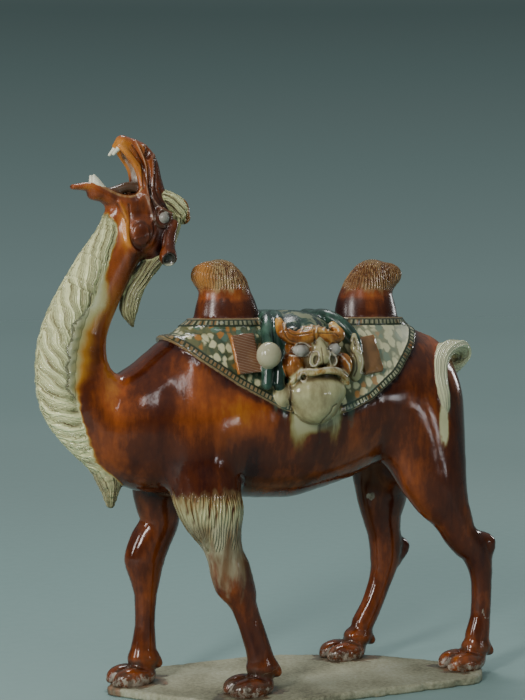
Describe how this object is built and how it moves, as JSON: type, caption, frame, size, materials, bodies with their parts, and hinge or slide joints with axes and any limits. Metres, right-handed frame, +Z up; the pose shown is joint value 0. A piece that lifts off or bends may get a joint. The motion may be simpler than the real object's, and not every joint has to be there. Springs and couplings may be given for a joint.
{
  "type": "camel figure",
  "caption": "Sancai-glazed pottery camel braying with its head thrown back, loaded with a saddlecloth and mask-faced bags, striding on its own slab.",
  "frame": {"origin": "on the slab's underside, between the feet and below the figure's middle plane", "axes": "the camel walks towards -X, its left side is at -Y, +Z is up"},
  "size_m": [0.7774, 0.3031, 0.8811],
  "materials": {
    "glaze": "glossy lead glaze run over pale earthenware"
  },
  "bodies": {
    "root": {"sancai_camel": "glaze"}
  },
  "joints": []
}
